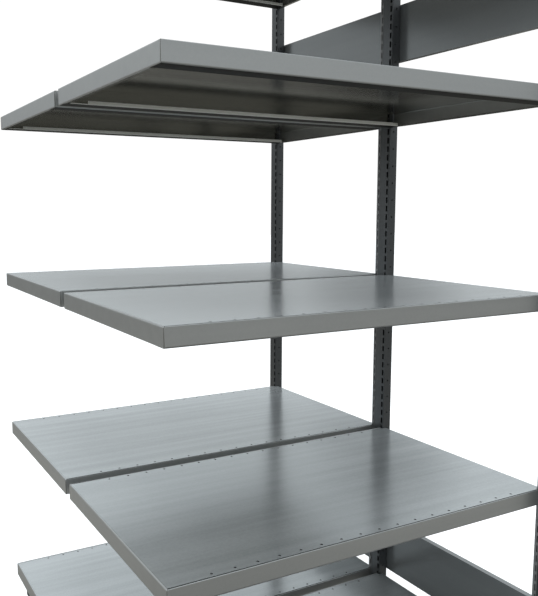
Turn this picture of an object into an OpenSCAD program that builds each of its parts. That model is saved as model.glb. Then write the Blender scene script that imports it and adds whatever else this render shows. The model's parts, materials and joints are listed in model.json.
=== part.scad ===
// Cantilever rack: three slotted posts in a row carry two bays of deep sheet-metal
// shelves, which all reach out to one side. Each shelf is a folded deck on two arms,
// and each arm hooks into the post slots at its rear end.
// Row frame: -X is the open aisle side, +X the back, Y runs along the bays, Z is up.
// The origin is on the floor, under the middle of the rack's box.

/* [Shelves] */
// Number of shelf levels in each bay
levels = 5; // [2:1:5]
// Deck width along the run of bays
deck_w = 600; // [450:10:900]
// Deck depth from its front edge to its rear edge
deck_d = 1012; // [700:2:1200]
// Height of the folded deck edge and of the arms
deck_t = 40; // [38:1:44]
// Height of the lowest deck's top face above the floor
first_top = 165; // [160:1:260]
// Number of slot pitches from one shelf level to the next
slots_per_level = 19; // [12:1:24]
// Thickness of the deck sheet
sheet_t = 1.5; // [1:0.1:2]
// Width of the bottom flanges folded in along the front and rear of a deck
deck_flange = 12; // [8:1:30]

/* [Arms] */
// Thickness of the arm's side web
arm_t = 2.5; // [2:0.1:2.5]
// Width of the bottom flange of an arm
arm_flange = 46; // [30:1:80]
// Height of the upturned lip on the inner edge of that flange
arm_lip = 10; // [6:1:14]
// Distance from the deck's front edge to the start of that lip
lip_from = 57; // [20:1:120]

/* [Divider holes] */
// Distance between neighbouring holes
hole_pitch = 50.8; // [40:0.1:60]
// Radius of a hole
hole_r = 2.6; // [1.5:0.1:4]
// Distance of the row of holes from the side edge of the deck
hole_inset = 15; // [12:0.5:20]

/* [Posts] */
// Depth of a post from front to back
post_d = 31; // [28:1:60]
// Wall thickness of a post
post_wall = 2.5; // [2:0.1:3]
// Distance between neighbouring slots
slot_pitch = 25.4; // [25:0.1:27]
// Height of a slot
slot_h = 17; // [16:0.5:18]
// How far the posts stand above the highest deck
post_above = 30; // [20:1:200]

/* [Spreader panels] */
// Height of a spreader panel
panel_h = 163; // [120:1:250]
// Depth of the flanges folded back along a panel's edges
panel_d = 16; // [10:1:20]

/* [Base] */
// Height of a base leg's tube
leg_h = 70; // [50:1:70]
// Height of a base leg above the floor
leg_z = 26; // [24:1:30]
// Radius of a levelling foot's pad
pad_r = 25; // [20:1:30]

/* [Hidden] */
$fn = 32;
BAYS = ["a", "b"];
SIDES = ["near", "far"];
POSTS = ["near", "mid", "far"];

// Posts: a box-section upright, and on the first two a narrow slotted channel beside it
half_post = 27;                 // from the bay joint's centre to the outer face of a post
joint_y = 14;                   // where the upright ends and the slotted channel begins
channel_wall = 1.7;
corner_r = 3;
post_in_front = 13;             // how far the posts' front faces stand inside the deck's depth
plate_behind = 30;              // how far the floor plate reaches behind the post
plate_t = 6;
plate_w = 110;
plate_l = 75;
post_front = deck_d - post_in_front;
post_back = post_front + post_d;
rack_d = post_back + plate_behind;
deck_gap = 34;                  // between the decks of two bays, where a post's slots stand
edge_y = deck_gap / 2;          // side edge of a deck, from the bay joint's centre
bay_pitch = deck_w + deck_gap;  // distance between post centres

// Slots: one column in the upright and one in the slotted channel
slot_w = 7.2;
slot_y = 20.4;
channel_slot_w = 3.3;
channel_slot_y = 18.35;
hook_low = 35.4;                // lower hook's seat below the deck's top face
neck_h = 7;
hook_drop = 6;                  // how far a hook hangs down behind the post wall
hook_t = 4;                     // thickness of the hook behind the post wall
fit_gap = 0.3;                  // clearance between an arm and the post it hooks on
seam = 0.2;                     // clearance between two parts of one assembly
level_pitch = slots_per_level * slot_pitch;
function deck_top(level) = first_top + (level - 1) * level_pitch;
post_h = deck_top(levels) + post_above;
slot_first = first_top - hook_low - slot_pitch;
slot_last = deck_top(levels) - hook_low + slot_pitch;
slot_count = round((slot_last - slot_first) / slot_pitch) + 1;
function slot_z(k) = slot_first + k * slot_pitch;
side_hole_r = 2.4;

// Decks
hole_count = floor((deck_d - 4 * hole_inset) / hole_pitch / 2) * 2 - 1;
hole_first = (deck_d - (hole_count - 1) * hole_pitch) / 2;
notch_x = post_in_front + 1.5;  // corner notch round a post
notch_y = half_post - edge_y + 1.5;
rim_gap = 0.8;                  // seam between the deck sheet and the arm's top edge
arm_top_flange = 24;
arm_sheet = 2;

// Spreader panels
panel_sheet = 1.5;
panel_end_gap = 1;
panel_return = 10;              // width of the strip turned in behind a panel's flanges
lower_panel_z = deck_top(1) + 11.5;
upper_panel_z = deck_top(max(levels - 1, 1)) + 153.5;
bolt_in = [7.5, -12];           // panel bolts beside a post's centre, on its far and near side
bolt_up = 28;                   // from a panel's edge to its bolts
bolt_r = 3;
bolt_hole_r = 3.2;
bolt_head_r = 6;
bolt_head_t = 3.4;
bolt_l = 14;
nut_room = 7;                   // how far a channel bolt reaches into the upright

// Base
leg_w = 50;
leg_wall = 3;
leg_front = 40;
end_plate_t = 5;
end_plate_z = [16, 100];
base_bolt_z = [leg_z + 12, leg_z + leg_h - 12];
base_bolt_y = -6.5;
foot_x = [110, deck_d - 82];    // levelling feet, from the front edge
pad_h = 10;
pad_rim = 6;                    // straight part of the pad below its cone
pad_neck_r = 12;
stud_r = 6;
stud_gap = 0.3;
stud_top = 50;
nut_r = 9.8;
nut_h = 9;
anchor_hole_r = 6.5;
anchor_y = 43;
cap_t = 4;                      // cap over the open top of a post
cap_plug = 18;
end_cap_t = 3;                  // cap over the open front of a base leg
end_cap_plug = 14;

// Names of all the nodes
DECK_NODES = [for (b = BAYS) for (l = [1:levels]) str("deck_", b, l)];
ARM_NODES = [for (b = BAYS) for (l = [1:levels]) for (s = SIDES) str("arm_", b, l, "_", s)];
POST_NODES = [for (p = POSTS) str("post_", p)];
CHANNEL_NODES = ["channel_near", "channel_mid"];
CAP_NODES = [for (p = POSTS) str("post_cap_", p)];
PLATE_NODES = [for (p = POSTS) str("floor_plate_", p)];
LEG_NODES = [for (p = POSTS) str("base_leg_", p)];
FOOT_NODES = [for (p = POSTS) for (e = ["front", "rear"]) str("foot_", p, "_", e)];
PANEL_NODES = [for (h = ["lower", "upper"]) for (b = BAYS) str("spreader_", h, "_", b)];
GROUP_NODES = ["panel_bolts", "channel_bolts", "base_bolts", "leg_end_caps", "foot_locknuts"];

function post_y(i) = (i - 1) * bay_pitch;
function bay_y(b) = (b - 0.5) * bay_pitch;
function channel_bolt_z(i) = deck_top(i) + (i < levels ? level_pitch / 2 : -level_pitch / 4);

// ---------- shared shapes ----------

// A rectangle with round corners, centred on the origin
module rounded(x, y, r) {
    square([x - 2 * r, y], center = true);
    square([x, y - 2 * r], center = true);
    for (i = [-1, 1])
        for (j = [-1, 1])
            translate([i * (x / 2 - r), j * (y / 2 - r)])
                circle(r);
}

// An upright box tube standing on z = 0
module tube(x, y, h, wall, r) {
    difference() {
        linear_extrude(h)
            rounded(x, y, r);
        translate([0, 0, -1])
            linear_extrude(h + 2)
                rounded(x - 2 * wall, y - 2 * wall, max(r - wall, 0.5));
    }
}

// A block given by its lowest and highest corners
module block(low, high) {
    translate(low)
        cube(high - low);
}

// A screw along +X with its head at x = 0 and its shank reaching in
module screw(r, head_r, head_t, l) {
    translate([-l, 0, 0])
        rotate([0, 90, 0])
            cylinder(h = l + 0.5, r = r);
    rotate([0, 90, 0])
        cylinder(h = head_t, r = head_r);
}

// Moves from the front edge of the decks to the row frame
module from_front() {
    translate([-rack_d / 2, 0, 0])
        children();
}

// ---------- shelves ----------

// The folded sheet: top face, front and rear folds, with notched rear corners
module deck_sheet() {
    top_y = deck_w / 2 - arm_t - rim_gap;
    flange_y = deck_w / 2 - arm_flange - 1;
    difference() {
        union() {
            block([0, -top_y, -sheet_t], [deck_d, top_y, 0]);
            block([0, -deck_w / 2, -deck_t], [sheet_t, deck_w / 2, 0]);
            block([0, -flange_y, -deck_t], [deck_flange, flange_y, -deck_t + sheet_t]);
            block([deck_d - sheet_t, -deck_w / 2 + notch_y, -deck_t],
                  [deck_d, deck_w / 2 - notch_y, 0]);
            block([deck_d - deck_flange, -flange_y, -deck_t], [deck_d, flange_y, -deck_t + sheet_t]);
        }
        for (s = [0, 1])
            mirror([0, s, 0])
                block([deck_d - notch_x, deck_w / 2 - notch_y, -sheet_t - 1],
                      [deck_d + 1, deck_w / 2 + 1, 1]);
        for (s = [-1, 1])
            for (k = [0:hole_count - 1])
                translate([hole_first + k * hole_pitch, s * (deck_w / 2 - hole_inset), -5])
                    cylinder(h = 10, r = hole_r, $fn = 16);
    }
}

module deck(b, level) {
    color([0.66, 0.69, 0.71])
        from_front()
            translate([0, bay_y(b), deck_top(level)])
                deck_sheet();
}

// One arm with its web on the +Y side edge and its flanges pointing to -Y
module arm_body() {
    edge = deck_w / 2;
    front = sheet_t + seam;
    web_end = post_front - fit_gap;
    flange_end = web_end - 2;
    hook_x = post_front + post_wall + fit_gap;
    difference() {
        union() {
            block([front, edge - arm_t, -deck_t], [web_end, edge, 0]);
            block([front, edge - arm_top_flange, -sheet_t - arm_sheet], [flange_end, edge - 1, -sheet_t]);
            block([front, edge - arm_flange, -deck_t], [flange_end, edge - 1, -deck_t + arm_sheet]);
            block([lip_from, edge - arm_flange, -deck_t],
                  [flange_end, edge - arm_flange + arm_sheet, -deck_t + arm_lip]);
        }
        for (k = [0:hole_count - 1])
            translate([hole_first + k * hole_pitch, edge - hole_inset, -sheet_t - arm_sheet - 1])
                cylinder(h = arm_sheet + 2, r = hole_r, $fn = 16);
    }
    for (seat = [-hook_low, -hook_low + slot_pitch]) {
        block([web_end - 1, edge - arm_t, seat], [hook_x + hook_t, edge, seat + neck_h]);
        block([hook_x, edge - arm_t, seat - hook_drop], [hook_x + hook_t, edge, seat + neck_h]);
    }
}

module arm(b, level, side) {
    color([0.55, 0.56, 0.55])
        from_front()
            translate([0, bay_y(b), deck_top(level)])
                mirror([0, side == "near" ? 1 : 0, 0])
                    arm_body();
}

// ---------- posts ----------

// Slots of one column, cut through the front wall only
module slot_column(y, w) {
    for (k = [0:slot_count - 1])
        translate([post_front - 1, y - w / 2, slot_z(k)])
            cube([post_wall + 2, w, slot_h]);
}

module upright(i) {
    w = half_post + joint_y;
    middle = (joint_y - half_post) / 2;
    color([0.27, 0.28, 0.29])
        from_front()
            translate([0, post_y(i), 0])
                difference() {
                    translate([post_front + post_d / 2, middle, plate_t])
                        tube(post_d, w, post_h - plate_t, post_wall, corner_r);
                    slot_column(-slot_y, slot_w);
                    for (k = [1:2:slot_count - 1])
                        translate([post_front + post_d / 2, -half_post - 1, slot_z(k) + slot_h / 2])
                            rotate([-90, 0, 0])
                                cylinder(h = post_wall + 2, r = side_hole_r, $fn = 16);
                    if (i < 2)
                        for (z = [lower_panel_z, upper_panel_z])
                            panel_bolt_holes(bolt_in[0], z);
                    if (i > 0)
                        for (z = [lower_panel_z, upper_panel_z])
                            panel_bolt_holes(bolt_in[1], z);
                    if (i < 2)
                        for (l = [1:levels])
                            translate([post_front + post_d / 2, joint_y - post_wall - 1, channel_bolt_z(l)])
                                rotate([-90, 0, 0])
                                    cylinder(h = post_wall + 2, r = bolt_hole_r);
                    for (z = base_bolt_z)
                        translate([post_front - 1, base_bolt_y, z])
                            rotate([0, 90, 0])
                                cylinder(h = post_wall + 2, r = bolt_hole_r);
                }
}

// Holes for one end of a panel, through a post's back wall or the panel's sheet
module panel_bolt_holes(y, z) {
    for (h = [bolt_up, panel_h - bolt_up])
        translate([post_back - post_wall - 1, y, z + h])
            rotate([0, 90, 0])
                cylinder(h = post_wall + panel_sheet + 2, r = bolt_hole_r);
}

// Narrow slotted channel that carries the next bay's arms
module channel(i) {
    low_y = joint_y + seam;
    color([0.4, 0.41, 0.42])
        from_front()
            translate([0, post_y(i), 0])
                difference() {
                    translate([post_front + post_d / 2, (low_y + half_post) / 2, plate_t])
                        tube(post_d, half_post - low_y, post_h - plate_t, channel_wall, 2);
                    slot_column(channel_slot_y, channel_slot_w);
                    for (l = [1:levels])
                        translate([post_front + post_d / 2, low_y - 1, channel_bolt_z(l)])
                            rotate([-90, 0, 0])
                                cylinder(h = half_post - low_y + 2, r = bolt_hole_r);
                }
}

// Cap over the open top of a post, with a plug that sits inside the upright
module post_cap(i) {
    far_y = i < 2 ? half_post : joint_y;
    w = half_post + far_y;
    bore_in = post_wall + seam;
    color([0.1, 0.1, 0.1])
        from_front()
            translate([post_front + post_d / 2, post_y(i), post_h]) {
                translate([0, (far_y - half_post) / 2, 0])
                    linear_extrude(cap_t)
                        rounded(post_d, w, corner_r);
                translate([0, (joint_y - half_post) / 2, -cap_plug])
                    linear_extrude(cap_plug + 1)
                        rounded(post_d - 2 * bore_in, joint_y + half_post - 2 * bore_in, 1);
            }
}

// ---------- spreader panels ----------

module spreader(b, z) {
    near = post_y(b) + panel_end_gap;
    far = post_y(b + 1) - panel_end_gap;
    color([0.36, 0.38, 0.39])
        from_front()
            difference() {
                union() {
                    block([post_back, near, z], [post_back + panel_sheet, far, z + panel_h]);
                    for (h = [0, panel_h - panel_sheet])
                        block([post_back, near, z + h], [post_back + panel_d, far, z + h + panel_sheet]);
                    for (h = [0, panel_h - panel_return])
                        block([post_back + panel_d - panel_sheet, near, z + h],
                              [post_back + panel_d, far, z + h + panel_return]);
                }
                translate([0, post_y(b), 0])
                    panel_bolt_holes(bolt_in[0], z);
                translate([0, post_y(b + 1), 0])
                    panel_bolt_holes(bolt_in[1], z);
            }
}

module panel_bolts() {
    color([0.7, 0.7, 0.68])
        from_front()
            for (b = [0, 1])
                for (z = [lower_panel_z, upper_panel_z])
                    for (h = [bolt_up, panel_h - bolt_up])
                        for (y = [post_y(b) + bolt_in[0], post_y(b + 1) + bolt_in[1]])
                            translate([post_back + panel_sheet, y, z + h])
                                screw(bolt_r, bolt_head_r, bolt_head_t, bolt_l);
}

module channel_bolts() {
    color([0.7, 0.7, 0.68])
        from_front()
            for (i = [0, 1])
                for (l = [1:levels])
                    translate([post_front + post_d / 2, post_y(i) + half_post, channel_bolt_z(l)])
                        rotate([0, 0, 90])
                            screw(bolt_r, bolt_head_r, bolt_head_t, half_post - joint_y + nut_room);
}

// ---------- base ----------

module floor_plate(i) {
    color([0.27, 0.28, 0.29])
        from_front()
            translate([0, post_y(i), 0])
                difference() {
                    block([rack_d - plate_l, -plate_w / 2, 0], [rack_d, plate_w / 2, plate_t]);
                    for (s = [-1, 1])
                        translate([post_front + post_d / 2, s * anchor_y, -1])
                            cylinder(h = plate_t + 2, r = anchor_hole_r);
                }
}

// Tube under the lowest shelf, with an end plate bolted to the post
module base_leg(i) {
    plate_x = post_front - end_plate_t;
    color([0.27, 0.28, 0.29])
        from_front()
            translate([0, post_y(i), 0])
                difference() {
                    union() {
                        difference() {
                            block([leg_front, -leg_w / 2, leg_z], [plate_x + 1, leg_w / 2, leg_z + leg_h]);
                            block([leg_front - 1, leg_wall - leg_w / 2, leg_z + leg_wall],
                                  [plate_x, leg_w / 2 - leg_wall, leg_z + leg_h - leg_wall]);
                        }
                        block([plate_x, -half_post, end_plate_z[0]], [post_front, half_post, end_plate_z[1]]);
                    }
                    for (x = foot_x)
                        translate([x, 0, leg_z - 1])
                            cylinder(h = leg_wall + 2, r = stud_r + stud_gap);
                    for (z = base_bolt_z)
                        translate([plate_x - 1, base_bolt_y, z])
                            rotate([0, 90, 0])
                                cylinder(h = end_plate_t + 2, r = bolt_hole_r);
                }
}

module base_bolts() {
    color([0.7, 0.7, 0.68])
        from_front()
            for (i = [0, 1, 2])
                for (z = base_bolt_z)
                    translate([post_front - end_plate_t, post_y(i) + base_bolt_y, z])
                        mirror([1, 0, 0])
                            screw(bolt_r, bolt_head_r, bolt_head_t, bolt_l + 2);
}

module leg_end_caps() {
    bore_in = leg_wall + seam;
    color([0.1, 0.1, 0.1])
        from_front()
            for (i = [0, 1, 2])
                translate([0, post_y(i), 0]) {
                    block([leg_front - end_cap_t, -leg_w / 2, leg_z], [leg_front, leg_w / 2, leg_z + leg_h]);
                    block([leg_front - 1, bore_in - leg_w / 2, leg_z + bore_in],
                          [leg_front + end_cap_plug, leg_w / 2 - bore_in, leg_z + leg_h - bore_in]);
                }
}

// Levelling foot: a round pad with a stud that turns in the leg
module foot(i, e) {
    color([0.12, 0.12, 0.12])
        from_front()
            translate([foot_x[e], post_y(i), 0]) {
                cylinder(h = pad_rim, r = pad_r);
                translate([0, 0, pad_rim])
                    cylinder(h = pad_h - pad_rim, r1 = pad_r, r2 = pad_neck_r);
                translate([0, 0, pad_h - 1])
                    cylinder(h = stud_top - pad_h + 1, r = stud_r);
            }
}

module foot_locknuts() {
    color([0.7, 0.7, 0.68])
        from_front()
            for (i = [0, 1, 2])
                for (x = foot_x)
                    translate([x, post_y(i), leg_z - nut_h])
                        difference() {
                            cylinder(h = nut_h, r = nut_r, $fn = 6);
                            translate([0, 0, -1])
                                cylinder(h = nut_h + 2, r = stud_r + 0.1);
                        }
}

// ---------- what is drawn ----------

for (b = [0, 1]) {
    for (l = [1:levels]) {
        deck(b, l);
        for (s = SIDES)
            arm(b, l, s);
    }
    spreader(b, lower_panel_z);
    spreader(b, upper_panel_z);
}
for (i = [0, 1, 2]) {
    upright(i);
    post_cap(i);
    floor_plate(i);
    base_leg(i);
    foot(i, 0);
    foot(i, 1);
}
channel(0);  // channel_near
channel(1);  // channel_mid
panel_bolts();
channel_bolts();
base_bolts();
leg_end_caps();
foot_locknuts();
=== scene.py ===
"""Looks of the cantilever rack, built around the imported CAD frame. Metres, +Z up, -X towards the aisle."""
import json
import math

import bmesh
import bpy
from mathutils import Matrix, Vector


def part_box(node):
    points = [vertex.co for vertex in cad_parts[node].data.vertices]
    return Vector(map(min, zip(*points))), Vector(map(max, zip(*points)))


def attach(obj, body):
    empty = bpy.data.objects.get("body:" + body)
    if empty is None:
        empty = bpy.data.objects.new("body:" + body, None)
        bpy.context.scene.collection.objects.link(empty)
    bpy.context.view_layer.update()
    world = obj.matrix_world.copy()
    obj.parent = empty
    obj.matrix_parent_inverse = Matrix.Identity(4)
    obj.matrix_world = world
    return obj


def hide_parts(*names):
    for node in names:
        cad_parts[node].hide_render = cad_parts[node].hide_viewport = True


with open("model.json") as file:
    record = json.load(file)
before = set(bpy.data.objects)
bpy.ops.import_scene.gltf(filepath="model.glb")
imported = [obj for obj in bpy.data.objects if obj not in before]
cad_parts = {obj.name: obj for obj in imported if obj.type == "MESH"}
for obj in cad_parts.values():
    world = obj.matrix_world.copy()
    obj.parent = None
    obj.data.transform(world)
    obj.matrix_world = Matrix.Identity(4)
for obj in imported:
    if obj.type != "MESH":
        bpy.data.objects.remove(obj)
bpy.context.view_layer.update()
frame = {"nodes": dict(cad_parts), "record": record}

MM = 0.001
LEVELS = (1, 2, 3, 4, 5)
BAYS = ("a", "b")
nodes = frame["nodes"]

# Sizes read from the frame
deck_low, deck_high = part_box("deck_a1")
DECK_D = deck_high.x - deck_low.x
DECK_W = deck_high.y - deck_low.y
DECK_T = deck_high.z - deck_low.z
arm_low, arm_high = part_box("arm_a1_near")
ARM_FLANGE = arm_high.y - arm_low.y
POST_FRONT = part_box("post_mid")[0].x
holes = next(m for m in frame["record"]["mounts"] if m["name"] == "divider_holes_a1")
HOLE_R = holes["dims"]["hole_r_mm"] * MM
HOLE_Y = holes["dims"]["spacing_y_mm"] * MM / 2
HOLE_SPAN = holes["dims"]["spacing_x_mm"] * MM
HOLE_COUNT = 17            # holes in one row

# Sheet metal
SHEET = 1.5 * MM
ARM_SHEET = 2.0 * MM
WEB = 2.5 * MM
FOLD_R = 1.5 * MM          # inside radius of a fold
SEAM = 2.0 * MM            # between the deck sheet and the rim of an arm
DECK_FLANGE = 12 * MM
ARM_LIP = 10 * MM
LIP_FROM = 57 * MM         # the lip of an arm's bottom flange starts this far behind the front
ARM_TOP_FLANGE = 24 * MM
NOTCH_X = 14.5 * MM        # corner notch of a deck round a post
NOTCH_Y = 11.5 * MM
DECK_EDGE = 0.35 * MM      # roundings of cut edges
ARM_EDGE = 0.4 * MM
CAP_EDGE = 1.2 * MM
FRAME_EDGE = 0.4 * MM
FOLD_STEPS = 5

# Hooks of an arm, which go through the slots of a post
POST_GAP = 0.3 * MM        # between the end of an arm and the post
HOOK_REACH = 2.8 * MM      # from the post's front face to the hook behind its wall
HOOK_SEATS = (-35.4 * MM, -10 * MM)
HOOK_T = 4 * MM
HOOK_DROP = 6 * MM
NECK_H = 7 * MM

# Camera, lens in mm and shift in frame widths
CAMERA_AT = (-1.0411, -1.7959, 1.3345)
CAMERA_FORWARD = (0.48508, 0.86604, -0.12107)
LENS = 45.15
SHIFT = (0.0514, 0.0016)

# Level directions in which the surroundings are darker
BEYOND_RACK = (0.49, 0.87, 0)
DARK_BAND = (0.647, 0.762, 0)


# ---------- mesh helpers ----------

def new_object(name, data):
    """An object in the scene, made of a mesh, light or camera."""
    obj = bpy.data.objects.new(name, data)
    bpy.context.scene.collection.objects.link(obj)
    return obj


def mesh_from(name, bm):
    bmesh.ops.recalc_face_normals(bm, faces=bm.faces)
    mesh = bpy.data.meshes.new(name)
    bm.to_mesh(mesh)
    bm.free()
    return mesh


def add_block(bm, low, high):
    """A box given by its lowest and highest corners."""
    size = Vector(high) - Vector(low)
    middle = (Vector(high) + Vector(low)) / 2
    made = bmesh.ops.create_cube(bm, size=1)
    bmesh.ops.scale(bm, vec=size, verts=made["verts"])
    bmesh.ops.translate(bm, vec=middle, verts=made["verts"])


def add_rod(bm, centre, radius, length):
    """An upright cylinder centred on a point."""
    bmesh.ops.create_cone(bm, cap_ends=True, segments=24, radius1=radius, radius2=radius, depth=length,
                          matrix=Matrix.Translation(centre))


def fold_line(corners, radius):
    """Points and unit directions along a line of straight runs with round corners."""
    path = []
    for i, corner in enumerate(corners):
        here = Vector(corner)
        if i in (0, len(corners) - 1):
            other = Vector(corners[1]) if i == 0 else Vector(corners[-2])
            along = (other - here) if i == 0 else (here - other)
            path.append((here, along.normalized()))
            continue
        before = (here - Vector(corners[i - 1])).normalized()
        after = (Vector(corners[i + 1]) - here).normalized()
        turn = math.copysign(math.acos(max(-1, min(1, before.dot(after)))), before.cross(after))
        start = here - before * radius * math.tan(abs(turn) / 2)
        side = Vector((-before.y, before.x)) * math.copysign(1, turn)
        centre = start + side * radius
        for k in range(FOLD_STEPS + 1):
            spin = Matrix.Rotation(turn * k / FOLD_STEPS, 2)
            path.append((centre - spin @ side * radius, spin @ before))
    return path


def folded(corners, thickness):
    """Closed outline of a sheet whose middle line runs through the corners."""
    path = fold_line(corners, FOLD_R + thickness / 2)
    left = [p + Vector((-d.y, d.x)) * thickness / 2 for p, d in path]
    right = [p - Vector((-d.y, d.x)) * thickness / 2 for p, d in path]
    return left + right[::-1]


def add_prism(bm, outline, low, high, spot):
    """Extrudes a flat outline from low to high; spot(u, v, w) gives the point in space."""
    first = [bm.verts.new(spot(p[0], p[1], low)) for p in outline]
    last = [bm.verts.new(spot(p[0], p[1], high)) for p in outline]
    count = len(outline)
    for i in range(count):
        j = (i + 1) % count
        bm.faces.new((first[i], first[j], last[j], last[i]))
    bm.faces.new(first[::-1])
    bm.faces.new(last)


def along_y(u, v, w):
    """Places an XZ outline, drawn out along Y."""
    return (u, w, v)


def along_x(u, v, w):
    """Places a YZ outline, drawn out along X."""
    return (w, u, v)


def solid(name, build):
    """An object made of what build draws."""
    bm = bmesh.new()
    build(bm)
    return new_object(name, mesh_from(name, bm))


def apply_all(obj):
    """Bakes the modifiers into the mesh."""
    graph = bpy.context.evaluated_depsgraph_get()
    mesh = bpy.data.meshes.new_from_object(obj.evaluated_get(graph))
    obj.modifiers.clear()
    obj.data = mesh
    return obj


def boolean(obj, build, operation="DIFFERENCE"):
    """Cuts away, or adds, what build draws."""
    tool = solid("tool", build)
    step = obj.modifiers.new("cut", "BOOLEAN")
    step.operation = operation
    step.solver = "EXACT"
    step.use_self = True
    step.object = tool
    apply_all(obj)
    bpy.data.objects.remove(tool)


def soften(obj, width, angle=50, merge_flat=False):
    """Rounds the edges sharper than angle degrees; merge_flat first joins triangles that share a plane."""
    weld = obj.modifiers.new("weld", "WELD")
    weld.merge_threshold = 0.01 * MM
    if merge_flat:
        flat = obj.modifiers.new("flat", "DECIMATE")
        flat.decimate_type = "DISSOLVE"
        flat.angle_limit = math.radians(0.5)
    bevel = obj.modifiers.new("round", "BEVEL")
    bevel.width = width
    bevel.segments = 2
    bevel.limit_method = "ANGLE"
    bevel.angle_limit = math.radians(angle)
    bevel.use_clamp_overlap = False
    bevel.harden_normals = True
    bevel.miter_outer = "MITER_ARC"
    return obj


# ---------- shelves ----------

def hole_places():
    """Distances of the holes of one row from the deck's front edge."""
    first = DECK_D / 2 - HOLE_SPAN / 2
    return [first + k * HOLE_SPAN / (HOLE_COUNT - 1) for k in range(HOLE_COUNT)]


def make_deck():
    """Folded deck sheet: x from its front edge, y from its middle, z from its top face."""
    half = DECK_W / 2
    front = SHEET / 2
    back = DECK_D - SHEET / 2
    top = -SHEET / 2
    low = -DECK_T + SHEET / 2
    profile = folded([(DECK_FLANGE, low), (front, low), (front, top),
                      (back, top), (back, low), (DECK_D - DECK_FLANGE, low)], SHEET)
    deck = solid("deck", lambda bm: add_prism(bm, profile, -half, half, along_y))

    past = 3 * MM                        # how far a cut runs past the sheet
    behind_fold = SHEET + 0.1 * MM
    rim = half - WEB - SEAM              # the top sheet ends short of the arms' rims
    inner = half - ARM_FLANGE - 1 * MM   # the bottom flanges end short of the arms' flanges
    rear = half - NOTCH_Y
    corner_cuts = (
        (3 * MM, DECK_D + past, rim, -SHEET - past, past),
        (DECK_D - NOTCH_X, DECK_D + past, rear, -DECK_T - past, past),
        (behind_fold, DECK_FLANGE + past, inner, -DECK_T - past, -DECK_T / 2),
        (DECK_D - DECK_FLANGE - past, DECK_D - behind_fold, inner, -DECK_T - past, -DECK_T / 2),
    )

    def cuts(bm):
        for s in (-1, 1):
            for x0, x1, y, z0, z1 in corner_cuts:
                y0, y1 = sorted((s * y, s * (half + past)))
                add_block(bm, (x0, y0, z0), (x1, y1, z1))

    def hole_rods(bm):
        for x in hole_places():
            for s in (-1, 1):
                add_rod(bm, (x, s * HOLE_Y, 0), HOLE_R, 20 * MM)

    boolean(deck, cuts)
    boolean(deck, hole_rods)
    return apply_all(soften(deck, DECK_EDGE))


def arm_outline():
    """Cross-section of the +Y arm: a web with a round rim, a top flange, and a lipped bottom flange."""
    low = -DECK_T + WEB / 2
    outline = folded([(-ARM_FLANGE + WEB / 2, -DECK_T + ARM_LIP), (-ARM_FLANGE + WEB / 2, low),
                      (-WEB / 2, low), (-WEB / 2, 0)], WEB)
    rim = len(outline) // 2 - 1
    flange = [Vector(p) for p in ((-WEB, -SHEET - ARM_SHEET), (-ARM_TOP_FLANGE, -SHEET - ARM_SHEET),
                                  (-ARM_TOP_FLANGE, -SHEET), (-WEB, -SHEET))]
    half = WEB / 2
    steps = 8
    turns = [math.pi * k / steps for k in range(steps + 1)]
    crown = [Vector((-half - half * math.cos(turn), -half + half * math.sin(turn))) for turn in turns]
    outline[rim:rim + 2] = flange + crown
    return outline


def make_arm():
    """Arm of the +Y side: x from the deck's front edge, y = 0 its outer face, flanges towards -Y."""
    post_x = POST_FRONT - deck_low.x
    web_end = post_x - POST_GAP
    front = SHEET + 0.2 * MM
    arm = solid("arm", lambda bm: add_prism(bm, arm_outline(), front, web_end, along_x))

    def hooks(bm):
        inset = 0.05 * MM                # keeps the hooks' sides off the web's faces
        hook_x = post_x + HOOK_REACH
        for seat in HOOK_SEATS:
            add_block(bm, (web_end - HOOK_T, inset - WEB, seat), (hook_x + HOOK_T, -inset, seat + NECK_H))
            add_block(bm, (hook_x, inset - WEB, seat - HOOK_DROP),
                      (hook_x + HOOK_T, -inset, seat + HOOK_DROP))

    def cuts(bm):
        for x in hole_places():
            add_rod(bm, (x, HOLE_Y - DECK_W / 2, -SHEET), HOLE_R, 10 * MM)
        add_block(bm, (0, -ARM_FLANGE - 1 * MM, -DECK_T + 3 * MM), (LIP_FROM, -WEB - 2 * MM, -DECK_T / 2))

    boolean(arm, hooks, "UNION")
    boolean(arm, cuts)
    return apply_all(soften(arm, ARM_EDGE))


def set_materials(mesh, materials):
    mesh.materials.clear()
    for material in materials:
        mesh.materials.append(material)


def paint_deck(mesh):
    """Bright top; painted shade on the rest: darker folds and underside, near-black hole walls and cut
    sides.
    """
    top, fold, under, dark_shade = range(4)
    set_materials(mesh, (deck_steel, shaded_side_steel, shaded_under_steel, painted_shade_dark))
    fold_zone = 4 * MM
    cut_side = DECK_W / 2 - WEB - SEAM - 0.2 * MM
    for face in mesh.polygons:
        at, out = face.center, face.normal
        from_hole = min(Vector((at.x - x, abs(at.y) - HOLE_Y)).length for x in hole_places())
        hole_wall = from_hole < HOLE_R * 1.25 and abs(out.z) < 0.97
        # Hole walls and the cut sides at the seams take the near-black painted shade
        if hole_wall or (abs(at.y) > cut_side and abs(out.y) > 0.5 and at.x > fold_zone):
            face.material_index = dark_shade
        # The front and back folds take the darker steel as painted shade
        elif abs(out.x) > 0.1 and (at.x < fold_zone or at.x > DECK_D - fold_zone):
            face.material_index = fold
        # The underside takes the darker steel as painted shade
        elif at.z < -SHEET / 2:
            face.material_index = under
        else:
            face.material_index = top


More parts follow.
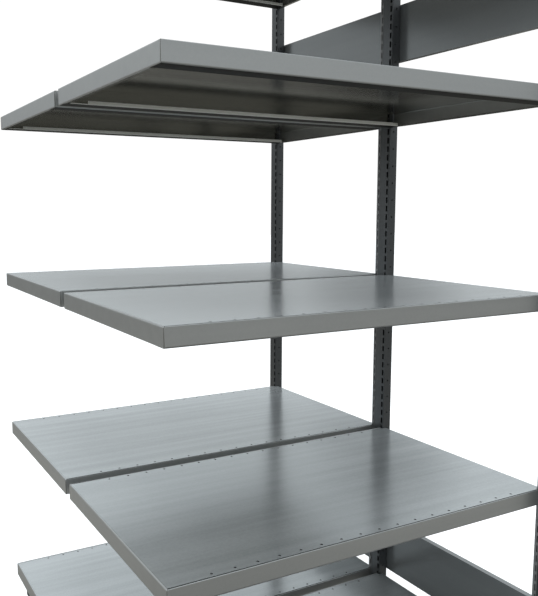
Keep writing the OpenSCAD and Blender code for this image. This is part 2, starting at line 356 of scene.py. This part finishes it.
def paint_arm(mesh):
    """Painted shade and light: darker steel outside and inside, near-black underneath, a lighter rim and a
    near-white lip.
    """
    outside, lip, inside, dark_shade, rim = range(5)
    set_materials(mesh, (shaded_side_steel, lip_highlight_steel, shaded_under_steel, painted_shade_dark, rim_highlight_steel))
    for face in mesh.polygons:
        at, out = face.center, face.normal
        # The round rims take the lighter steel as painted highlight
        if at.z > -WEB / 2 and at.y > -WEB - 0.1 * MM:
            face.material_index = rim
        # Outer faces take the darker steel as painted shade
        elif out.y > 0.5:
            face.material_index = outside
        # Bottom faces of the flanges take the near-black painted shade
        elif at.z < -DECK_T + 0.5 * MM:
            face.material_index = dark_shade
        # The lips take the near-white painted highlight
        elif out.y < 0.1 and at.y < -ARM_FLANGE + 5 * MM and at.z < -DECK_T + ARM_LIP + 1 * MM:
            face.material_index = lip
        # Inner faces take the darker steel as painted shade
        else:
            face.material_index = inside


def mirrored(mesh, name):
    """A copy of a mesh turned into its mirror image across the XZ plane."""
    bm = bmesh.new()
    bm.from_mesh(mesh)
    bmesh.ops.scale(bm, vec=(1, -1, 1), verts=bm.verts)
    bmesh.ops.reverse_faces(bm, faces=bm.faces)
    copy = mesh_from(name, bm)
    for material in mesh.materials:
        copy.materials.append(material)
    return copy


# ---------- bolts ----------

def loose_parts(obj):
    """Lists of the vertex positions of each separate part of a mesh."""
    bm = bmesh.new()
    bm.from_mesh(obj.data)
    bmesh.ops.remove_doubles(bm, verts=bm.verts, dist=0.001 * MM)
    left = set(bm.verts)
    parts = []
    for start in bm.verts:
        if start not in left:
            continue
        left.remove(start)
        front = [start]
        part = []
        while front:
            vert = front.pop()
            part.append(vert.co.copy())
            for edge in vert.link_edges:
                other = edge.other_vert(vert)
                if other in left:
                    left.remove(other)
                    front.append(other)
        parts.append(part)
    bm.free()
    return parts


def add_lathe(bm, profile, place_point, sides):
    """Turns a profile of (height, radius) pairs; sides = 6 gives a hexagon."""
    rings = []
    for height, radius in profile:
        rings.append([bm.verts.new(place_point(height, radius, math.tau * k / sides)) for k in range(sides)])
    for low_ring, high_ring in zip(rings, rings[1:]):
        for k in range(sides):
            j = (k + 1) % sides
            bm.faces.new((low_ring[k], low_ring[j], high_ring[j], high_ring[k]))
    bm.faces.new(rings[0][::-1])
    bm.faces.new(rings[-1])


def add_screw(bm, part):
    """A hexagon screw with a washer, in the place and size of one plain screw of the frame."""
    low = Vector([min(p[i] for p in part) for i in range(3)])
    high = Vector([max(p[i] for p in part) for i in range(3)])
    size = high - low
    axis = max(range(3), key=lambda i: size[i])
    u, v = [i for i in range(3) if i != axis]
    middle = (low + high) / 2
    head_r = size[u] / 2

    def wide(end):
        """Radius of the screw at one of its ends."""
        near = [p for p in part if abs(p[axis] - end) < 0.5 * MM]
        return max(math.hypot(p[u] - middle[u], p[v] - middle[v]) for p in near)

    top_end, tip_end = (high, low) if wide(high[axis]) > wide(low[axis]) else (low, high)
    length = size[axis]
    way = 1 if tip_end[axis] > top_end[axis] else -1
    shank_r = min(wide(tip_end[axis]), head_r * 0.6)

    def point(height, radius, angle):
        at = Vector(middle)
        at[axis] = top_end[axis] + way * height
        at[u] += radius * math.cos(angle)
        at[v] += radius * math.sin(angle)
        return at

    hexagon = head_r * 0.86
    head_end = 3.6 * MM
    washer_end = 4.0 * MM
    add_lathe(bm, [(0.05 * MM, hexagon * 0.82), (0.5 * MM, hexagon), (head_end, hexagon)], point, 6)
    add_lathe(bm, [(2.9 * MM, hexagon * 0.9), (3.3 * MM, head_r * 0.96), (head_end, head_r),
                   (washer_end, head_r)], point, 32)
    groove = shank_r * 0.86
    pitch = 1.25 * MM
    thread_from = 4.2 * MM
    tip = 0.5 * MM
    thread = [(3.8 * MM, shank_r)]
    for k in range(int((length - 5 * MM) / pitch)):
        crest = thread_from + k * pitch
        thread += [(crest, shank_r), (crest + pitch / 2, groove)]
    thread += [(length - tip, shank_r * 0.9), (length, shank_r * 0.7)]
    add_lathe(bm, thread, point, 20)


def place(name, mesh, at, body, node):
    """A piece that rides on a body and stands for a CAD node."""
    piece = new_object(name, mesh)
    piece.location = at
    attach(piece, body)
    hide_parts(node)


# ---------- materials ----------

def value_noise(tree, vector, scale, detail, rough):
    noise = tree.nodes.new("ShaderNodeTexNoise")
    noise.inputs["Scale"].default_value = scale
    noise.inputs["Detail"].default_value = detail
    noise.inputs["Roughness"].default_value = rough
    tree.links.new(vector, noise.inputs["Vector"])
    return noise.outputs["Fac"]


def stretched(tree, scale):
    """Object coordinates shifted from piece to piece and stretched by scale."""
    coord = tree.nodes.new("ShaderNodeTexCoord")
    info = tree.nodes.new("ShaderNodeObjectInfo")
    shift = tree.nodes.new("ShaderNodeVectorMath")
    shift.operation = "SCALE"
    shift.inputs[0].default_value = (3.1, 5.3, 7.7)
    tree.links.new(info.outputs["Random"], shift.inputs["Scale"])
    add = tree.nodes.new("ShaderNodeVectorMath")
    tree.links.new(coord.outputs["Object"], add.inputs[0])
    tree.links.new(shift.outputs[0], add.inputs[1])
    mapping = tree.nodes.new("ShaderNodeMapping")
    mapping.inputs["Scale"].default_value = scale
    tree.links.new(add.outputs[0], mapping.inputs["Vector"])
    return mapping.outputs[0]


def span(tree, value, low, high, start=0.3, end=0.7):
    """Maps a value from start..end, where most of a noise lies, to low..high."""
    node = tree.nodes.new("ShaderNodeMapRange")
    node.inputs["From Min"].default_value = start
    node.inputs["From Max"].default_value = end
    node.inputs["To Min"].default_value = low
    node.inputs["To Max"].default_value = high
    tree.links.new(value, node.inputs["Value"])
    return node.outputs["Result"]


def tint(tree, factor, dark, light):
    """Colour between dark and light."""
    node = tree.nodes.new("ShaderNodeMix")
    node.data_type = "RGBA"
    node.inputs["A"].default_value = (*dark, 1)
    node.inputs["B"].default_value = (*light, 1)
    tree.links.new(factor, node.inputs["Factor"])
    return node.outputs["Result"]


def blend_values(tree, a, b, share):
    """Mix of two values, with share of the second."""
    node = tree.nodes.new("ShaderNodeMix")
    node.inputs["Factor"].default_value = share
    tree.links.new(a, node.inputs["A"])
    tree.links.new(b, node.inputs["B"])
    return node.outputs["Result"]


def painted_front_light(tree, colour, factor):
    """Painted light: scales a colour on the faces that look along -X, so that side shows lighter."""
    coord = tree.nodes.new("ShaderNodeTexCoord")
    split = tree.nodes.new("ShaderNodeSeparateXYZ")
    tree.links.new(coord.outputs["Normal"], split.inputs[0])
    scale = tree.nodes.new("ShaderNodeVectorMath")
    scale.operation = "SCALE"
    tree.links.new(colour, scale.inputs[0])
    tree.links.new(span(tree, split.outputs["X"], factor, 1, -0.9, -0.5), scale.inputs["Scale"])
    return scale.outputs[0]


def number(tree, operation, *inputs):
    """A Math node; each input is a constant or another node's output."""
    node = tree.nodes.new("ShaderNodeMath")
    node.operation = operation
    for socket, value in zip(node.inputs, inputs):
        if isinstance(value, (int, float)):
            socket.default_value = value
        else:
            tree.links.new(value, socket)
    return node.outputs[0]


def sagging(tree, depth):
    """Normal of a deck sheet that hangs a little lower in its middle than at its four edges."""
    coord = tree.nodes.new("ShaderNodeTexCoord")
    split = tree.nodes.new("ShaderNodeSeparateXYZ")
    tree.links.new(coord.outputs["Object"], split.inputs[0])
    along = number(tree, "MULTIPLY_ADD", split.outputs["X"], 2 / DECK_D, -1.0)
    across = number(tree, "MULTIPLY", split.outputs["Y"], 2 / DECK_W)
    bowl = number(tree, "MULTIPLY", number(tree, "SUBTRACT", 1.0, number(tree, "MULTIPLY", along, along)),
                  number(tree, "SUBTRACT", 1.0, number(tree, "MULTIPLY", across, across)))
    relief = tree.nodes.new("ShaderNodeBump")
    relief.invert = True
    relief.inputs["Strength"].default_value = 1
    relief.inputs["Distance"].default_value = depth
    tree.links.new(bowl, relief.inputs["Height"])
    return relief.outputs["Normal"]


BRUSHED_X = (0.9, 36, 36)      # noise scales: streaks run along the smallest
BRUSHED_Y = (24, 1.2, 24)
BRUSHED_Z = (40, 40, 1.2)
GRAIN = (180, 220, 220)
RELIEF_DEPTH = 0.1 * MM


def surface(name, dark, light, metallic, rough, bump, streak=BRUSHED_X, grain=GRAIN, front=1, sag=0):
    """Steel, paint or plastic with streaks, a fine grain and slow cloudy patches.

    The pattern moves the colour from dark to light and the roughness over its range. front lightens
    the faces that look towards the aisle as painted light, and sag is how far a deck hangs in its middle.
    """
    mat = bpy.data.materials.new(name)
    mat.use_nodes = True
    tree = mat.node_tree
    shader = tree.nodes["Principled BSDF"]
    shader.inputs["Metallic"].default_value = metallic
    streaks = value_noise(tree, stretched(tree, streak), 1, 3, 0.5)
    fine = value_noise(tree, stretched(tree, grain), 1, 2, 0.6)
    clouds = value_noise(tree, stretched(tree, (1, 1, 1)), 3.5, 3, 0.5)
    mixed = blend_values(tree, blend_values(tree, streaks, fine, 0.35), clouds, 0.25)
    colour = tint(tree, span(tree, mixed, 0, 1), dark, light)
    # Painted light: faces towards the aisle are lightened
    if front != 1:
        colour = painted_front_light(tree, colour, front)
    tree.links.new(colour, shader.inputs["Base Color"])
    tree.links.new(span(tree, mixed, rough[0], rough[1]), shader.inputs["Roughness"])
    relief = tree.nodes.new("ShaderNodeBump")
    relief.inputs["Strength"].default_value = bump
    relief.inputs["Distance"].default_value = RELIEF_DEPTH
    tree.links.new(blend_values(tree, streaks, fine, 0.5), relief.inputs["Height"])
    if sag:
        tree.links.new(sagging(tree, sag), relief.inputs["Normal"])
    tree.links.new(relief.outputs["Normal"], shader.inputs["Normal"])
    return mat


def post_surface(name, front):
    return surface(name, (0.066, 0.07, 0.073), (0.095, 0.10, 0.105), metallic=0.4, rough=(0.30, 0.40),
                   bump=0.1, streak=BRUSHED_Z, front=front)


deck_steel = surface("deck_steel", (0.43, 0.46, 0.47), (0.63, 0.665, 0.675), metallic=0.6,
                     rough=(0.16, 0.27), bump=0.3, sag=3 * MM)
# Darker copy of the steel for the deck folds and arm outer faces: painted shade on sideways faces
shaded_side_steel = surface("shaded_side_steel", (0.40, 0.41, 0.41), (0.47, 0.48, 0.475), metallic=0.7,
                     rough=(0.34, 0.42), bump=0.08)
# Near-white lips: a painted highlight for the light the lips catch
lip_highlight_steel = surface("lip_highlight_steel", (0.84, 0.84, 0.80), (0.95, 0.95, 0.91), metallic=0.1,
                    rough=(0.45, 0.55), bump=0.05)
# Lighter copy of the steel for the round rims: a painted highlight
rim_highlight_steel = surface("rim_highlight_steel", (0.46, 0.48, 0.48), (0.54, 0.56, 0.56), metallic=0.8,
                    rough=(0.3, 0.38), bump=0.05)
# Darker copy of the steel for the undersides and the arms' insides: painted shade
shaded_under_steel = surface("shaded_under_steel", (0.23, 0.23, 0.207), (0.30, 0.30, 0.27), metallic=0.85,
                      rough=(0.12, 0.18), bump=0.05)
# Near-black painted shade for the flange bottoms, hole walls and deck cut sides, where shade falls
painted_shade_dark = surface("painted_shade_dark", (0.022, 0.022, 0.020), (0.036, 0.036, 0.033), metallic=0,
                     rough=(0.5, 0.6), bump=0.2)
painted_shade_dark.node_tree.nodes["Principled BSDF"].inputs["Specular IOR Level"].default_value = 0.12
post_paint = post_surface("post_paint", front=1)
# The middle post's faces towards the aisle are lightened 1.7 times: painted light
post_paint_mid_lit = post_surface("post_paint_mid_lit", front=1.7)
channel_paint = surface("channel_paint", (0.28, 0.285, 0.29), (0.34, 0.345, 0.35), metallic=0.4,
                        rough=(0.30, 0.42), bump=0.1, streak=BRUSHED_Z)
panel_paint = surface("panel_paint", (0.26, 0.273, 0.278), (0.31, 0.325, 0.33), metallic=0.5,
                      rough=(0.22, 0.28), bump=0.05, streak=BRUSHED_Y)
zinc = surface("zinc", (0.45, 0.45, 0.43), (0.68, 0.68, 0.66), metallic=1,
               rough=(0.25, 0.4), bump=0.2, streak=(200, 200, 200))
plastic = surface("black_plastic", (0.012, 0.012, 0.013), (0.03, 0.03, 0.031), metallic=0,
                  rough=(0.45, 0.6), bump=0.4, streak=(300, 300, 300), grain=(700, 700, 700))

SLOT_MATERIALS = {"deck_sheet": deck_steel, "arm_sheet": shaded_side_steel, "post_steel": post_paint,
                  "channel_steel": channel_paint, "panel_steel": panel_paint, "fastener_zinc": zinc,
                  "black_plastic": plastic, "foot_black": plastic}


# ---------- assembly ----------

deck_model = make_deck()
arm_model = make_arm()
deck_mesh = deck_model.data
far_arm_mesh = arm_model.data
paint_deck(deck_mesh)
paint_arm(far_arm_mesh)
near_arm_mesh = mirrored(far_arm_mesh, "arm_near")
for model in (deck_model, arm_model):
    bpy.data.objects.remove(model)

for bay in BAYS:
    for level in LEVELS:
        low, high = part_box(f"deck_{bay}{level}")
        at = Vector((low.x, (low.y + high.y) / 2, high.z))
        body = f"shelf_{bay}{level}"
        place(f"deck_sheet_{bay}{level}", deck_mesh, at, body, f"deck_{bay}{level}")
        for side, sign, mesh in (("near", -1, near_arm_mesh), ("far", 1, far_arm_mesh)):
            edge = at + Vector((0, sign * DECK_W / 2, 0))
            arm = f"{bay}{level}_{side}"
            place(f"arm_channel_{arm}", mesh, edge, body, f"arm_{arm}")

SCREWS = ("panel_bolts", "channel_bolts", "base_bolts")
for group in SCREWS:
    bm = bmesh.new()
    for part in loose_parts(nodes[group]):
        add_screw(bm, part)
    screws = mesh_from(group + "_hex", bm)
    screws.materials.append(zinc)
    place(group + "_hex", screws, (0, 0, 0), "frame", group)

slot_of = {s["node"]: s["material_slot"] for s in frame["record"]["subparts"]}
for name, obj in nodes.items():
    if name.startswith(("deck_", "arm_")) or name in SCREWS:
        continue
    material = post_paint_mid_lit if name == "post_mid" else SLOT_MATERIALS[slot_of[name]]
    set_materials(obj.data, (material,))
    edge = CAP_EDGE if "cap" in name else FRAME_EDGE
    soften(obj, edge, angle=60, merge_flat=not name.startswith("channel_"))


# ---------- studio ----------

def stage_floor():
    bm = bmesh.new()
    bmesh.ops.create_grid(bm, x_segments=1, y_segments=1, size=30)
    floor = new_object("floor", mesh_from("floor", bm))
    floor.location.z = -0.5 * MM
    mat = bpy.data.materials.new("floor_pale")
    mat.use_nodes = True
    shader = mat.node_tree.nodes["Principled BSDF"]
    shader.inputs["Base Color"].default_value = (0.9, 0.9, 0.9, 1)
    shader.inputs["Roughness"].default_value = 0.9
    shader.inputs["Emission Color"].default_value = (1, 1, 1, 1)
    shader.inputs["Emission Strength"].default_value = 0.4
    floor.data.materials.append(mat)
    floor.visible_glossy = False
    floor.visible_diffuse = False


def dome(tree, height, stops):
    """Colour of the surroundings by height: 0 straight down, 0.5 the horizon, 1 straight up."""
    ramp = tree.nodes.new("ShaderNodeValToRGB")
    while len(ramp.color_ramp.elements) < len(stops):
        ramp.color_ramp.elements.new(0.5)
    for element, (at, colour) in zip(ramp.color_ramp.elements, stops):
        element.position = at
        element.color = (*colour, 1)
    tree.links.new(height, ramp.inputs["Fac"])
    return ramp.outputs["Color"]


def dark_band(tree, split):
    """Share of the light left by a soft dark upright band beyond the rack, right of its middle post."""
    level = tree.nodes.new("ShaderNodeCombineXYZ")
    tree.links.new(split.outputs["X"], level.inputs["X"])
    tree.links.new(split.outputs["Y"], level.inputs["Y"])
    heading = tree.nodes.new("ShaderNodeVectorMath")
    heading.operation = "NORMALIZE"
    tree.links.new(level.outputs[0], heading.inputs[0])
    toward = tree.nodes.new("ShaderNodeVectorMath")
    toward.operation = "DOT_PRODUCT"
    toward.inputs[1].default_value = DARK_BAND
    tree.links.new(heading.outputs[0], toward.inputs[0])
    return span(tree, toward.outputs["Value"], 1, 0.5, 0.994, 1)


def studio_world():
    """White to the camera; a soft dome for the light, dim below the horizon and dimmest beyond the rack."""
    world = bpy.data.worlds.new("studio")
    bpy.context.scene.world = world
    world.use_nodes = True
    tree = world.node_tree
    back = tree.nodes["Background"]
    coord = tree.nodes.new("ShaderNodeTexCoord")
    split = tree.nodes.new("ShaderNodeSeparateXYZ")
    tree.links.new(coord.outputs["Generated"], split.inputs[0])
    height = number(tree, "MULTIPLY_ADD", split.outputs["Z"], 0.5, 0.5)
    sky = ((0.53, (0.40, 0.415, 0.42)), (0.57, (0.60, 0.63, 0.64)), (0.7, (0.85, 0.90, 0.92)),
           (1.0, (1.1, 1.15, 1.2)))
    open_ground = ((0.0, (0.04, 0.04, 0.035)), (0.2, (0.12, 0.12, 0.11)), (0.31, (0.48, 0.475, 0.44)),
                   (0.42, (0.33, 0.33, 0.31)), (0.48, (0.30, 0.30, 0.29)))
    far_ground = ((0.0, (0.04, 0.04, 0.035)), (0.2, (0.20, 0.20, 0.185)), (0.32, (0.52, 0.52, 0.48)),
                  (0.37, (0.36, 0.36, 0.33)), (0.395, (0.24, 0.24, 0.22)), (0.42, (0.045, 0.045, 0.042)),
                  (0.49, (0.03, 0.03, 0.028)))
    open_side = dome(tree, height, open_ground + sky)
    far_side = dome(tree, height, far_ground + sky)
    behind = tree.nodes.new("ShaderNodeVectorMath")
    behind.operation = "DOT_PRODUCT"
    behind.inputs[1].default_value = BEYOND_RACK
    tree.links.new(coord.outputs["Generated"], behind.inputs[0])
    mix = tree.nodes.new("ShaderNodeMix")
    mix.data_type = "RGBA"
    tree.links.new(span(tree, behind.outputs["Value"], 0, 1, 0.55, 0.95), mix.inputs["Factor"])
    tree.links.new(open_side, mix.inputs["A"])
    tree.links.new(far_side, mix.inputs["B"])
    band = dark_band(tree, split)
    shaded = tree.nodes.new("ShaderNodeVectorMath")
    shaded.operation = "SCALE"
    tree.links.new(mix.outputs["Result"], shaded.inputs[0])
    tree.links.new(band, shaded.inputs["Scale"])
    tree.links.new(shaded.outputs[0], back.inputs["Color"])
    white = tree.nodes.new("ShaderNodeBackground")
    white.inputs["Strength"].default_value = 1.05
    white.inputs["Color"].default_value = (1, 1, 1, 1)
    path = tree.nodes.new("ShaderNodeLightPath")
    pick = tree.nodes.new("ShaderNodeMixShader")
    tree.links.new(path.outputs["Is Camera Ray"], pick.inputs["Fac"])
    tree.links.new(back.outputs[0], pick.inputs[1])
    tree.links.new(white.outputs[0], pick.inputs[2])
    tree.links.new(pick.outputs[0], tree.nodes["World Output"].inputs["Surface"])


def overhead_light():
    """A wide soft light that looks straight down and isn't seen in reflections."""
    data = bpy.data.lights.new("overhead", "AREA")
    data.shape = "SQUARE"
    data.size = 4
    data.energy = 90
    data.color = (0.97, 0.99, 1)
    light = new_object("overhead", data)
    light.location.z = 4.5
    light.visible_glossy = False


def set_camera():
    data = bpy.data.cameras.new("camera")
    data.sensor_width = 36
    data.lens = LENS
    data.shift_x, data.shift_y = SHIFT
    camera = new_object("camera", data)
    camera.location = CAMERA_AT
    camera.rotation_euler = Vector(CAMERA_FORWARD).to_track_quat("-Z", "Y").to_euler()
    bpy.context.scene.camera = camera


stage_floor()
studio_world()
overhead_light()
set_camera()
bpy.context.scene.view_settings.view_transform = "Standard"
